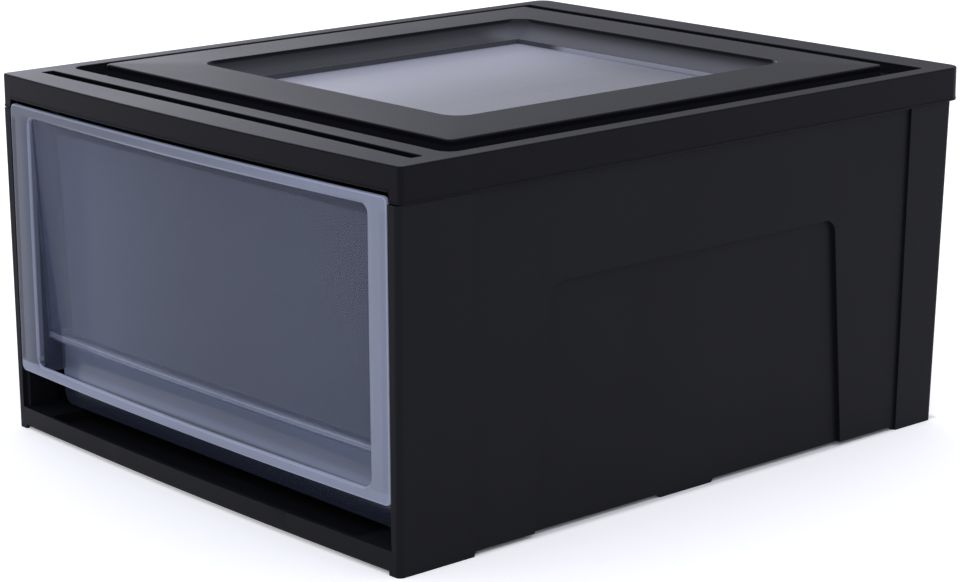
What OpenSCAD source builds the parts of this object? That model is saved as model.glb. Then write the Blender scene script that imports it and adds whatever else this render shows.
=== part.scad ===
// Stackable drawer box: a moulded case with a smoky slide-out drawer and a windowed top cover.
// X runs across the front, the drawer pulls out towards -Y, and the feet stand on Z = 0.

/* [Overall] */
// Width of the box across the top cover
width = 400; // [380:1:430]
// Depth of the box from front corner to rear corner
depth = 470; // [440:1:540]
// Height of the top cover's rim above the feet
rim_height = 234.7; // [230:0.1:280]
// How far the cover's front edge bows out at its middle
front_bow = 5; // [3:0.5:7]
// Wall thickness of the case, the skirt and the drawer
wall = 2.5; // [2:0.1:2.8]
// Sliding gap between the drawer and what it runs on
slide_gap = 0.3; // [0.2:0.05:0.6]

/* [Case] */
// How far the case's sides stand inside the skirt's outer face at the skirt's lower edge
case_inset = 1.3; // [0.8:0.1:1.8]
// How far each side wall leans in from the skirt down to the feet
side_draft = 2.1; // [0:0.1:3]
// How far the rear wall stands inside the skirt's outer face at the skirt's lower edge
rear_inset = 8.4; // [7:0.1:10]
// How far the rear wall leans in from the skirt down to the feet
rear_draft = 7.2; // [2:0.1:9]
// How far the front posts stand ahead of the cover's front corners
post_proud = 1.1; // [0:0.1:1.3]
// Width of each front post, from the cover's side to the drawer opening
post_w = 10; // [9:0.5:12]
// Radius of the case's rear upright edges
rear_edge_r = 4; // [3:0.5:12]
// Radius of the case's front upright edges
post_edge_r = 3.5; // [1:0.5:5]
// Height of the foot pads below the walls' lower edges
foot_height = 2.3; // [1.5:0.1:3]
// Height of the case floor's underside above the feet
floor_clearance = 5.5; // [5:0.1:7]
// Height of the front rail's top edge above the feet
rail_top = 14.7; // [13:0.1:16]
// Height of the front rail's lower edge above the feet
rail_bottom = 2.8; // [0.5:0.1:3]
// How far the front rail's top edge bows out at its middle
rail_bow = 3.8; // [2:0.1:5]
// Height of the runner ribs on the side shelves
runner_height = 2; // [1.5:0.1:3]
// Width of each side shelf, from the post's inner face to the web at its inner edge
shelf_w = 30; // [26:1:40]
// Width of a front post's return web behind the flange seat
post_web_depth = 20; // [12:1:24]

/* [Case side reliefs] */
// Length of the raised zone at the front of each side
front_zone = 54.5; // [45:0.5:70]
// Length of the raised zone at the rear of each side, at the top
rear_zone = 48.2; // [40:0.5:56]
// How far the rear zone widens from the skirt down to the feet
zone_slant = 3.4; // [0:0.1:6]
// Depth of the main side panel behind the raised zones
panel_depth = 1.8; // [1.2:0.1:3]
// Height of the sunk field's top edge above the feet
field_top = 151; // [120:1:170]
// Depth of the sunk field behind the main side panel
field_depth = 3; // [2:0.1:4.5]
// Distance from the front corner to the sunk field, at its top
field_front = 114; // [90:1:130]
// Distance from the rear corner to the sunk field, at its top
field_rear = 115; // [90:1:130]
// How far the field's ends spread from its top down to the feet
field_slant = 12; // [0:0.5:16]
// Radius of the sunk field's upper corners
field_r = 9; // [4:0.5:14]
// Distance from the front corner to the middle foot pad
mid_foot_front = 208.5; // [190:0.5:230]
// Length of the middle foot pad
mid_foot_length = 42; // [30:1:60]

/* [Top cover] */
// Thickness of the cover's top sheet
sheet = 3.2; // [2.6:0.1:3.6]
// Height of the skirt at the sides, below the rim
skirt_height = 21.5; // [18:0.5:26]
// Height of the header over the drawer, below the rim
header_height = 15.6; // [12:0.1:16]
// Radius of the cover's front corners
cover_front_r = 3.5; // [1.5:0.5:8]
// Radius of the cover's rear corners
cover_rear_r = 10; // [6:0.5:24]
// Distance from the cover's front corner line to the slot
slot_setback = 20.5; // [18:0.5:26]
// Width of the slot behind the front edge
slot_w = 8.7; // [7:0.1:10]
// Distance from each side of the cover to the slot's end
slot_end = 15.4; // [13:0.1:24]
// Depth of the slot
slot_depth = 12; // [8:0.5:13]
// Width of the rim strip between the slot and the stacking groove
slot_bridge = 15.3; // [13:0.1:20]
// Width of the rim strip beside the stacking groove
rim_side = 12.7; // [11:0.1:16]
// Width of the rim strip behind the stacking groove
rim_rear = 25.5; // [20:0.5:32]
// Width of the stacking groove along the sides
groove_side = 16.1; // [14:0.1:20]
// Width of the stacking groove along the front
groove_front = 15.5; // [12:0.1:20]
// Width of the stacking groove along the rear
groove_rear = 20; // [14:0.1:24]
// Depth of the stacking groove below the rim
groove_depth = 8; // [5:0.5:9]
// Radius of the groove's front corners
groove_r = 9; // [6:0.5:12]
// Height of the window frame's outer edge above the rim
frame_rise = 2.5; // [1.5:0.1:3]
// Height of the window frame's inner edge above its outer edge
frame_crown = 1.4; // [0:0.1:2]
// Radius of the window frame's outer corners
frame_r = 3.5; // [2:0.5:8]
// Width of the window frame's side members
frame_side = 44.8; // [38:0.1:52]
// Width of the window frame's front member
frame_front = 42.7; // [38:0.1:52]
// Width of the window frame's rear member
frame_rear = 43.8; // [38:0.1:52]
// Radius of the window's upper corners
window_r = 13; // [8:0.5:18]
// Width of the dished wall round the window
dish_w = 23; // [18:0.5:28]
// Depth of the dished wall round the window
dish_depth = 9.9; // [7:0.1:10.5]

/* [Window pane] */
// Thickness of the clear pane
pane_t = 2; // [1.5:0.1:3]
// How far the pane reaches under the dished wall
pane_lap = 6; // [5:0.5:7]
// Width of a snap hook that holds the pane
hook_w = 14; // [8:1:20]

/* [Drawer] */
// Height of the drawer front above the feet, at its lower edge
front_bottom = 40.5; // [36:0.5:46]
// Gap between the drawer front and the header above it
header_gap = 2.4; // [1.5:0.1:4]
// Gap between the drawer front and each post
post_gap = 0.8; // [0.5:0.1:1.5]
// Distance that the drawer front stands ahead of the cover's front corners
front_proud = 1.3; // [0.5:0.1:3]
// How far the drawer front bows out at its middle
drawer_bow = 4.6; // [3:0.1:6]
// Width of the drawer front's border at the sides
border_side = 18.5; // [16:0.1:20]
// Width of the drawer front's border along the top
border_top = 7.2; // [6:0.1:10]
// Height of the pull bar along the drawer front's lower edge
pull_bar = 6.5; // [5:0.1:10]
// Radius of the drawer front's outer corners
front_r = 4; // [2:0.5:6]
// Radius of the recess's corners
recess_r = 6; // [3:0.5:9]
// Distance from the drawer front's face back to the sunk panel's top edge
panel_top_set = 2.8; // [2.6:0.1:4]
// How far the sunk panel leans back from its top edge to the ledge
panel_lean = 7.5; // [4:0.1:9]
// How far the sunk panel bows out at its middle
panel_bow = 3; // [1.5:0.1:3.5]
// Height of the ledge over the finger gap above the feet
ledge_z = 66; // [60:0.5:74]
// Depth of the finger gap behind the drawer front's face
finger_gap = 22; // [20:0.5:26]
// Distance from the cover's rim down to the top of the tub's side and rear walls
tub_drop = 29.7; // [28.7:0.1:45]
// Distance from the tub's rim down to the top of its front wall, behind the sunk panel
front_wall_drop = 8; // [4:0.5:20]
// How far each tub side spreads from its bottom up to its rim
tub_draft = 3.3; // [1:0.1:3.4]
// Radius of the tub's lower edges
tub_r = 8; // [5:0.5:10]
// Width of the tub's turned-out rim
tub_rim = 7.5; // [5:0.5:7.5]
// Gap behind the tub's rear wall
rear_gap = 8; // [6:0.5:20]
// Length of the drawer's travel
travel = 360; // [300:1:370]
// Height of the stop lugs on the tub's rim
lug_height = 8; // [6:0.5:9]

/* [Hidden] */
$fn = 64;
// A cut runs this far past a face
PAST = 1;
// Straight steps along a shallow bow, in each lofted corner and down the dished wall
BOW_STEPS = 20;
CORNER_STEPS = 6;
DISH_STEPS = 8;

// How far the side reliefs' cutting solids reach outwards
RELIEF_OUT = 20;
// Fit of the pane in its bed, and the hooks under it
PANE_FIT = 0.3;
HOOK_T = 1.6;
HOOK_LAP = 3;
HOOK_SPREAD = 0.6;
// Return along the pull bar's foot
BAR_LIP = 6;
BAR_LIP_T = 2.2;

// Places along Y: the foremost point of the drawer front and the cover's rear share the middle
front_out = max(front_bow, front_proud + drawer_bow);
front_y = -(depth - front_out) / 2;
rear_y = front_y + depth;
half_w = width / 2;

// Heights of the cover
skirt_z = rim_height - skirt_height;
header_z = rim_height - header_height;
sheet_z = rim_height - sheet;
groove_z = rim_height - groove_depth;
groove_under = groove_z - sheet;
frame_z = rim_height + frame_rise;
crown_z = frame_z + frame_crown;
dish_z = crown_z - dish_depth;
pane_top = dish_z - sheet;

// Nested outlines of the cover: [half width, front y, rear y]
groove_out = [half_w - rim_side, front_y + slot_setback + slot_w + slot_bridge, rear_y - rim_rear];
frame_out = [groove_out[0] - groove_side, groove_out[1] + groove_front, groove_out[2] - groove_rear];
window_out = [frame_out[0] - frame_side, frame_out[1] + frame_front, frame_out[2] - frame_rear];
dish_in = inset(window_out, dish_w);
SHARP_R = 1.5;

// Case walls. The shoulder under the skirt stays a parting gap below it
PARTING_GAP = 0.4;
SKIRT_FIT = 0.2;
shoulder_z = skirt_z - PARTING_GAP;
band_half = half_w - wall - SKIRT_FIT;
case_half = half_w - case_inset;
case_rear = rear_y - rear_inset;
post_y = front_y - post_proud;
post_inner = half_w - post_w;
shelf_half = post_inner - shelf_w - wall;
SEAT_STEP = 4;
seat_inner = post_inner - SEAT_STEP;
shelf_z = rail_top - wall;
rail_half = case_half - side_draft - post_edge_r;
floor_top = floor_clearance + wall;
runner_z = rail_top + runner_height;
RUNNER_W = 5;
FOOT_W = 12;
PAD_SLANT = 3;
SEAT_GAP = 0.6;

// Ribs under the floor that nest round the window frame of the box below
NEST_GAP = 1.5;
NEST_RIB = 2.2;
NEST_FOOT = 0.5;
nest_in = inset(frame_out, -NEST_GAP);

// Drawer front and tub
front_half = post_inner - post_gap;
front_top = header_z - header_gap;
front_face = front_y - front_proud;
front_back = front_face + wall;
seat_y = front_back + SEAT_GAP;
recess_half = front_half - border_side;
recess_top = front_top - border_top;
recess_bottom = front_bottom + pull_bar;
panel_y = front_face + panel_top_set;
ledge_y = panel_y + panel_lean;
LEDGE_BEAD = 0.6;
tub_front = front_face + finger_gap;
tub_top = rim_height - tub_drop;
tub_bottom = runner_z + slide_gap;
tub_half = recess_half + wall;
tub_top_half = tub_half + tub_draft;
tub_rear = case_rear - rear_draft - wall - rear_gap;
rim_half = tub_top_half + tub_rim;

// Guide blades over the tub's walls, and the stops that its lugs meet
BLADE_GAP = 1;
BLADE_OVERHANG = 0.5;
STOP_T = 3.5;
STOP_SETBACK = 6.5;
STOP_GAP = 2;
STOP_END_GAP = 0.6;
STOP_LIFT = 3;
LUG_L = 6;
blade_z = tub_top + BLADE_GAP;
blade_x = tub_top_half - wall - BLADE_OVERHANG;
stop_front = front_y + wall + STOP_SETBACK;
stop_rear = stop_front + STOP_T;
stop_x0 = blade_x + wall + STOP_GAP;
stop_x1 = seat_inner - STOP_END_GAP;
stop_z = tub_top + STOP_LIFT;
lug_y = stop_rear + travel + slide_gap;

// ---------- Outlines and lofts ----------

// Moves every side of an outline [half width, front y, rear y] inwards by d
function inset(o, d) = [o[0] - d, o[1] + d, o[2] - d];

// Points of one quarter-round corner, turning anticlockwise from the angle a
function corner(cx, cy, r, a) = [
    for (i = [0 : CORNER_STEPS]) let (turn = a + 90 * i / CORNER_STEPS)
        [cx + r * cos(turn), cy + r * sin(turn)]];

// Points of a rounded rectangle with its own radius at the front and the rear corners
function round_points(o, rf, rr) = concat(
    corner(-o[0] + rf, o[1] + rf, rf, 180),
    corner(o[0] - rf, o[1] + rf, rf, 270),
    corner(o[0] - rr, o[2] - rr, rr, 0),
    corner(-o[0] + rr, o[2] - rr, rr, 90));

// A solid through outlines of equal point counts, given from the bottom up as [points, z]
module loft(levels) {
    n = len(levels[0][0]);
    top = len(levels) - 1;
    points = [for (level = levels) for (p = level[0]) [p[0], p[1], level[1]]];
    sides = [for (k = [0 : top - 1]) for (i = [0 : n - 1]) let (j = (i + 1) % n)
        for (tri = [[i, j, n + j], [i, n + j, n + i]]) [for (v = tri) k * n + v]];
    caps = [[for (i = [n - 1 : -1 : 0]) i], [for (i = [0 : n - 1]) top * n + i]];
    polyhedron(points, [for (face = concat(sides, caps)) reversed(face)], convexity = 8);
}

// A rounded rectangle with true arcs
module round_plan(o, rf, rr) {
    for (s = [-1, 1]) {
        translate([s * (o[0] - rf), o[1] + rf]) circle(rf);
        translate([s * (o[0] - rr), o[2] - rr]) circle(rr);
    }
    translate([-o[0], o[1] + rf]) square([2 * o[0], o[2] - o[1] - rf - rr]);
    translate([-o[0] + rf, o[1]]) square([2 * (o[0] - rf), rf + PAST]);
    translate([-o[0] + rr, o[2] - rr - PAST]) square([2 * (o[0] - rr), rr + PAST]);
}

// Points along a front that stands at y at its corners and bows out by bow at its middle
function bow_line(reach, half, y, bow) = [
    for (i = [0 : BOW_STEPS]) let (x = reach * (2 * i / BOW_STEPS - 1))
        [x, y - bow * (1 - pow(x / half, 2))]];

// The same points the other way round
function reversed(points) = [for (i = [len(points) - 1 : -1 : 0]) points[i]];

// A plate with a bowed front and a straight back
module bowed_plan(half, y, bow, back_y) {
    polygon(concat(bow_line(half, half, y, bow), [[half, back_y], [-half, back_y]]));
}

// A bowed strip of thickness t
module bowed_strip(half, y, bow, t) {
    polygon(concat(bow_line(half, half, y, bow), reversed(bow_line(half, half, y + t, bow))));
}

// The cover's outline with its bowed front, moved inwards by t
module cover_plan(t) {
    rf = max(cover_front_r - t, SHARP_R / 2);
    half = half_w - t;
    front = bow_line(half - rf, half_w, front_y + t, front_bow);
    back_y = front[0][1] + rf;
    round_plan([half, front[0][1], rear_y - t], rf, cover_rear_r - t);
    polygon(concat(front, [[half - rf, back_y], [-half + rf, back_y]]));
}

// A rounded rectangle standing in XZ, extruded back from y0 to y1
module front_block(half, z0, z1, r, y0, y1) {
    translate([0, y1, 0]) rotate([90, 0, 0]) linear_extrude(y1 - y0)
        round_plan([half, z0, z1], r, r);
}

// ---------- Case ----------

// The case's drafted outer form, moved inwards by t, between two heights
module case_form(t, z0, z1) {
    function low(z) = 1 - z / shoulder_z;
    function walls(z) = [
        case_half - side_draft * low(z),
        post_y,
        case_rear - rear_draft * low(z)];
    function level(z) = [
        round_points(inset(walls(z), t), max(post_edge_r - t, SHARP_R / 2), rear_edge_r - t), z];
    difference() {
        loft([level(z0), level(z1)]);
        for (s = [0, 1]) mirror([s, 0, 0]) side_relief(t);
    }
}

// What the side panel and its sunk field take off one side of the form moved inwards by t
module side_relief(t) {
    tilt = atan(side_draft / shoulder_z);
    panel_front = front_y + front_zone - t;
    panel_rear = rear_y - rear_zone + t;
    field_y0 = front_y + field_front - t;
    field_y1 = rear_y - field_rear + t;
    top = field_top + t;
    translate([case_half - side_draft - t, 0, 0]) rotate([0, tilt, 0]) {
        translate([-panel_depth, 0, 0]) rotate([90, 0, 90]) linear_extrude(RELIEF_OUT) polygon([
            [panel_front, -2 * PAST], [panel_rear - zone_slant, -2 * PAST],
            [panel_rear, shoulder_z + 4 * PAST], [panel_front, shoulder_z + 4 * PAST]]);
        translate([-panel_depth - field_depth, 0, 0]) rotate([90, 0, 90]) linear_extrude(RELIEF_OUT) {
            polygon([
                [field_y0 - field_slant, -2 * PAST], [field_y1 + field_slant, -2 * PAST],
                [field_y1, top - field_r], [field_y1 - field_r, top],
                [field_y0 + field_r, top], [field_y0, top - field_r]]);
            for (y = [field_y0 + field_r, field_y1 - field_r])
                translate([y, top - field_r]) circle(field_r);
        }
    }
}

// A plan outline extruded between two heights
module storey(z0, z1) {
    translate([0, 0, z0]) linear_extrude(z1 - z0) children();
}

// The part of the walls that stands inside the skirt
module band_plan() {
    outer = [band_half, front_y + wall + SKIRT_FIT, case_rear];
    difference() {
        round_plan(outer, SHARP_R, rear_edge_r);
        round_plan(inset(outer, wall), SHARP_R, rear_edge_r - wall);
    }
}

// One front post's flange seat at y, reaching forward into its front wall, and its return web
module post_plan(y, web) {
    reach = seat_y - post_y - wall / 2;
    translate([post_inner, y - reach]) square([half_w - post_inner, reach + wall]);
    translate([seat_inner, y]) square([half_w - seat_inner, wall]);
    translate([seat_inner, y]) square([wall, web]);
}

// The bowed rail between the feet
module front_rail() {
    storey(rail_bottom, rail_top) bowed_strip(rail_half, post_y, rail_bow, wall);
}

// Gaps between the foot pads, under the side and rear walls
module foot_gaps() {
    nest_x = nest_in[0] + NEST_RIB + PAST;
    mid0 = front_y + mid_foot_front;
    mid1 = mid0 + mid_foot_length;
    zone0 = front_y + front_zone;
    zone1 = rear_y - rear_zone - zone_slant;
    for (s = [0, 1]) mirror([s, 0, 0])
        translate([nest_x, 0, 0]) rotate([90, 0, 90]) linear_extrude(half_w)
        for (gap = [[zone0, mid0], [mid1, zone1]]) polygon([
            [gap[0], -PAST], [gap[1], -PAST],
            [gap[1] - PAD_SLANT, foot_height], [gap[0] + PAD_SLANT, foot_height]]);
    rear_half = case_half - side_draft - rear_edge_r - FOOT_W;
    translate([-rear_half, case_rear - rear_draft - 2 * wall, -PAST])
        cube([2 * rear_half, 4 * wall, PAST + foot_height]);
}

// Floor, side shelves, their webs and the runner ribs
module case_floor() {
    reach = [half_w, front_y - rail_bow, rear_y];
    runner_y = tub_front + wall;
    intersection() {
        case_form(wall / 2, floor_clearance - PAST, shoulder_z);
        union() {
            storey(floor_clearance, floor_top) square_plan([shelf_half + wall, reach[1], reach[2]]);
            for (s = [0, 1]) mirror([s, 0, 0]) {
                translate([shelf_half, reach[1], floor_clearance])
                    cube([wall, depth, rail_top - floor_clearance]);
                translate([shelf_half, reach[1], shelf_z]) cube([half_w - shelf_half, depth, wall]);
                translate([shelf_half, runner_y, shelf_z]) cube([RUNNER_W, depth, runner_z - shelf_z]);
            }
        }
    }
    floor_reach(0, shelf_half + wall, floor_clearance, floor_top);
    floor_reach(shelf_half, shelf_half + wall, floor_clearance, rail_top);
    floor_reach(shelf_half, rail_half, shelf_z, rail_top);
}

// What lies between x0 and x1 on both sides reaches the bowed rail ahead of the wall line
module floor_reach(x0, x1, z0, z1) {
    storey(z0, z1) intersection() {
        bowed_plan(rail_half, post_y + wall / 2, rail_bow, front_y + 2 * wall);
        for (s = [0, 1]) mirror([s, 0]) translate([x0, front_y - 2 * rail_bow])
            square([x1 - x0, 2 * rail_bow + 3 * wall]);
    }
}

// A plain rectangle from an outline [half width, front y, rear y]
module square_plan(o) {
    translate([-o[0], o[1]]) square([2 * o[0], o[2] - o[1]]);
}

// The ribs under the floor that locate the box on the one below
module nest_ribs() {
    r = frame_r + NEST_GAP;
    difference() {
        storey(NEST_FOOT, shelf_z + wall / 2) difference() {
            round_plan(inset(nest_in, -NEST_RIB), r + NEST_RIB, r + NEST_RIB);
            round_plan(nest_in, r, r);
        }
        storey(floor_clearance + wall / 2, shelf_z + wall)
            square_plan([shelf_half + wall / 2, front_y, rear_y]);
    }
}

module case_body() {
    color([0.11, 0.115, 0.125]) {
        difference() {
            union() {
                difference() {
                    case_form(0, 0, shoulder_z);
                    case_form(wall, -PAST, shoulder_z + PAST);
                }
                intersection() {
                    case_form(0, 0, shoulder_z);
                    storey(shoulder_z - 2 * wall, shoulder_z) band_plan();
                }
                storey(shoulder_z - wall / 2, sheet_z) band_plan();
            }
            // Front opening over the rail, and the straight wall that the bowed rail replaces
            storey(rail_top, rim_height)
                square_plan([post_inner, front_y - 2 * rail_bow, front_y + 4 * wall]);
            storey(-PAST, rail_top + PAST)
                square_plan([post_inner - wall, front_y - 2 * rail_bow, front_y + 4 * wall]);
            foot_gaps();
        }
        for (s = [0, 1]) mirror([s, 0, 0]) {
            intersection() {
                case_form(0, 0, shoulder_z);
                storey(shelf_z, shoulder_z) post_plan(seat_y, post_web_depth);
            }
            storey(shoulder_z - wall, sheet_z) intersection() {
                post_plan(front_y + wall + SKIRT_FIT, slot_setback - 2 * (wall + SKIRT_FIT));
                square_plan([band_half, front_y + wall + SKIRT_FIT, rear_y]);
            }
        }
        front_rail();
        case_floor();
        nest_ribs();
    }
}

// ---------- Top cover ----------

// Insets and heights along the dished wall, from the window's upper edge (0) down to the pane (90)
function dish_inset(a) = dish_w * (1 - cos(a));
function dish_z_at(a) = crown_z - dish_depth * sin(a);
DISH_ANGLES = [for (i = [DISH_STEPS : -1 : 0]) 90 * i / DISH_STEPS];

// One level of the dish: the window's outline moved inwards by d, at the height z
function window_level(d, z) =
    let (r = max(window_r - d, SHARP_R)) [round_points(inset(window_out, d), r, r), z];

// The space of the dished window and the hole under it
module dish_cut() {
    loft(concat(
        [window_level(dish_w, pane_top - PAST)],
        [for (a = DISH_ANGLES) window_level(dish_inset(a), dish_z_at(a))],
        [window_level(0, crown_z + PAST)]));
}

// The dished wall's underside, with the flat landing that the pane lies against
module dish_bowl() {
    landing = dish_w - pane_lap - PANE_FIT - wall;
    loft(concat(
        [window_level(landing, pane_top)],
        [for (a = DISH_ANGLES) let (d = dish_inset(a) - sheet, z = dish_z_at(a) - sheet * sin(a))
            if (d < landing - PANE_FIT && z > pane_top + PANE_FIT) window_level(d, z)],
        [window_level(-sheet, crown_z + PAST)]));
}

// The window frame's outer outline, with the same corner points as the loft over it
module frame_plan() {
    polygon(round_points(frame_out, frame_r, frame_r));
}

// Skirt, rim and window frame as one closed form
module cover_form() {
    storey(skirt_z, rim_height) cover_plan(0);
    storey(groove_under, frame_z) frame_plan();
    loft([
        [round_points(frame_out, frame_r, frame_r), frame_z],
        [round_points(window_out, window_r, window_r), crown_z]]);
}

// The open underside of the cover
module cover_hollow() {
    storey(skirt_z - PAST, groove_under) cover_plan(wall);
    storey(groove_under - PAST, sheet_z) difference() {
        cover_plan(wall);
        round_plan(inset(groove_out, -wall), groove_r + wall, SHARP_R + wall);
    }
    difference() {
        storey(groove_under - PAST, frame_z - sheet)
            round_plan(inset(frame_out, wall), SHARP_R, SHARP_R);
        dish_bowl();
    }
}

// One snap hook in the XY plane, reaching inwards from the middle of the locating wall
module hook(at, turn, z) {
    translate([at[0], at[1], z]) rotate([0, 0, turn]) translate([0, -hook_w / 2, 0])
        cube([wall / 2 + PANE_FIT + HOOK_LAP, hook_w, HOOK_T]);
}

// The pane's locating wall and the snap hooks under it
module pane_holder() {
    bed = inset(dish_in, -pane_lap - PANE_FIT);
    ring = inset(bed, -wall / 2);
    hook_z = pane_top - pane_t - HOOK_T;
    mid_y = (ring[1] + ring[2]) / 2;
    spread = (ring[2] - mid_y) * HOOK_SPREAD;
    storey(hook_z, pane_top + PANE_FIT) difference() {
        round_plan(inset(bed, -wall), SHARP_R + wall, SHARP_R + wall);
        round_plan(bed, SHARP_R, SHARP_R);
    }
    for (y = [mid_y - spread, mid_y, mid_y + spread]) {
        hook([-ring[0], y], 0, hook_z);
        hook([ring[0], y], 180, hook_z);
    }
    for (x = [-ring[0] / 2, ring[0] / 2]) {
        hook([x, ring[1]], 90, hook_z);
        hook([x, ring[2]], 270, hook_z);
    }
}

// The slot's space behind the front edge
module slot_block(grow, z0, z1) {
    half = half_w - slot_end + grow;
    y0 = front_y + slot_setback - grow;
    storey(z0, z1) square_plan([half, y0, y0 + slot_w + 2 * grow]);
}

// Guide blades over the tub's walls and the stops that its lugs meet, on the right
module drawer_guides() {
    translate([blade_x, tub_front + 4 * wall, blade_z])
        cube([wall, tub_rear - tub_front - 4 * wall, groove_under + PANE_FIT - blade_z]);
    translate([stop_x0, stop_front, stop_z])
        cube([stop_x1 - stop_x0, STOP_T, sheet_z + PANE_FIT - stop_z]);
}

module top_cover() {
    color([0.13, 0.135, 0.145]) {
        difference() {
            union() {
                difference() {
                    cover_form();
                    cover_hollow();
                }
                slot_block(wall, rim_height - slot_depth - wall, sheet_z + PANE_FIT);
            }
            // Stacking groove between the rim and the window frame
            storey(groove_z, crown_z) difference() {
                round_plan(groove_out, groove_r, SHARP_R);
                frame_plan();
            }
            slot_block(0, rim_height - slot_depth, rim_height + PAST);
            dish_cut();
            storey(skirt_z - PAST, header_z)
                square_plan([post_inner, front_y - 2 * front_bow, front_y + 2 * wall]);
        }
        pane_holder();
        for (s = [0, 1]) mirror([s, 0, 0]) drawer_guides();
    }
}

module window_pane() {
    color([0.72, 0.75, 0.82, 0.45])
        storey(pane_top - pane_t, pane_top)
            round_plan(inset(dish_in, -pane_lap), SHARP_R, SHARP_R);
}

// ---------- Drawer ----------

// The tub's cross-section in XZ moved inwards by d, drafted, with round lower edges
module tub_section(d, top) {
    low = tub_half - d;
    z0 = tub_bottom + d;
    r = tub_r - d;
    high = low + tub_draft * (top - z0 - r) / (tub_top - tub_bottom - tub_r);
    polygon([[-low, z0 + r], [low, z0 + r], [high, top], [-high, top]]);
    translate([-low + r, z0]) square([2 * (low - r), r + PAST]);
    for (s = [-1, 1]) translate([s * (low - r), z0 + r]) circle(r);
}

// The tub's solid form moved inwards by d
module tub_form(d, top) {
    outline = [half_w, tub_front + d, tub_rear - d];
    r = tub_r - d;
    intersection() {
        translate([0, outline[2], 0]) rotate([90, 0, 0]) linear_extrude(outline[2] - outline[1])
            tub_section(d, top);
        storey(0, top + PAST) square_plan(outline);
        // Round lower edge of the rear wall
        translate([-half_w, 0, 0]) rotate([90, 0, 90]) linear_extrude(width) {
            translate([outline[1], tub_bottom + d + r]) square([outline[2] - outline[1], top]);
            translate([outline[1], tub_bottom + d]) square([outline[2] - outline[1] - r, 2 * r]);
            translate([outline[2] - r, tub_bottom + d + r]) circle(r);
        }
    }
}

// The bowed plate round the drawer front, with the pull bar along its foot
module drawer_flange() {
    difference() {
        intersection() {
            storey(front_bottom, front_top) bowed_strip(front_half, front_face, drawer_bow, wall);
            front_block(
                front_half, front_bottom, front_top, front_r,
                front_face - 2 * drawer_bow, front_back + PAST);
        }
        front_block(
            recess_half, recess_bottom, recess_top, recess_r,
            front_face - 3 * drawer_bow, front_back + 2 * PAST);
    }
}

// The sunk panel, the ledge under it and the bridge from the panel's top to the flange
module sunk_panel() {
    half = recess_half + wall / 2;
    lean = atan(panel_lean / (recess_top - ledge_z));
    length = (recess_top - ledge_z + wall / 2) / cos(lean);
    translate([0, panel_y, recess_top]) rotate([lean, 0, 0])
        storey(-length, wall / 2) bowed_strip(half, 0, panel_bow, wall);
    storey(ledge_z - wall, ledge_z)
        bowed_plan(half, ledge_y - LEDGE_BEAD, panel_bow, tub_front + wall / 2);
    bridge = panel_top_set + wall + drawer_bow - panel_bow;
    storey(recess_top, recess_top + wall) bowed_strip(half, front_face + wall / 2, drawer_bow, bridge);
}

// The pull bar's return, which the fingers hook behind
module bar_return() {
    storey(front_bottom, front_bottom + BAR_LIP_T)
        bowed_strip(recess_half + wall / 2, front_face + wall / 2, drawer_bow, wall / 2 + BAR_LIP);
}

module drawer() {
    color([0.36, 0.39, 0.48, 0.6]) {
        difference() {
            union() {
                tub_form(0, tub_top);
                // Turned-out rim
                storey(tub_top - wall, tub_top)
                    round_plan([rim_half, tub_front + tub_rim, tub_rear + tub_rim / 2], SHARP_R, tub_r);
            }
            tub_form(wall, tub_top + PAST);
            // The front wall behind the sunk panel ends below the rim
            storey(tub_top - front_wall_drop, tub_top + PAST)
                square_plan([recess_half, tub_front - PAST, tub_front + wall + PAST]);
        }
        drawer_flange();
        sunk_panel();
        bar_return();
        for (s = [0, 1]) mirror([s, 0, 0]) {
            translate([recess_half, front_face + wall / 2, front_bottom])
                cube([wall, tub_front + wall - front_face - wall / 2, recess_top + wall - front_bottom]);
            // Stop lug on the rim
            translate([stop_x0 + slide_gap, lug_y, tub_top - wall / 2])
                cube([rim_half - stop_x0 - slide_gap, LUG_L, wall / 2 + lug_height]);
        }
    }
}

case_body();
top_cover();
window_pane();
drawer();
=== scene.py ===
"""A stackable drawer box: black moulded case and cover, smoky sliding drawer, clear window."""

import math

import bmesh
import bpy
from bpy.props import FloatProperty, FloatVectorProperty, PointerProperty
from mathutils import Matrix, Vector
from mathutils.geometry import tessellate_polygon


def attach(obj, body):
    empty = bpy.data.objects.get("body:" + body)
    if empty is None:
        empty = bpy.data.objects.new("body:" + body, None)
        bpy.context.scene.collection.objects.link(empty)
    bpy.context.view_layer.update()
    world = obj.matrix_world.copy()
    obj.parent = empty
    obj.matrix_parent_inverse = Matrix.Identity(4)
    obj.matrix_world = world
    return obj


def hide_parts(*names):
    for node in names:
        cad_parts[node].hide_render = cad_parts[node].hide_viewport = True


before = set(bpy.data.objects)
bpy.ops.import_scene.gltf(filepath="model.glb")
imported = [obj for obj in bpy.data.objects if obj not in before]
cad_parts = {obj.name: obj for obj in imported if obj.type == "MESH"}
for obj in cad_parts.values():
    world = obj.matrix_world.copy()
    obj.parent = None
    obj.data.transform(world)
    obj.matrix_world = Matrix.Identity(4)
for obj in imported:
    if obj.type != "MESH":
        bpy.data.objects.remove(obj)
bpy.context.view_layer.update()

bl_info = {
    "name": "Drawer Box Finisher",
    "version": (1, 0, 0),
    "blender": (4, 5, 0),
    "location": "3D View > Sidebar > Drawer Box",
    "description": "Builds the finished surfaces of a stackable drawer box around its solid model",
    "category": "Object",
}

MM = 0.001
BLACK = (0, 0, 0, 1)
WHITE = (1, 1, 1, 1)

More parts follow.
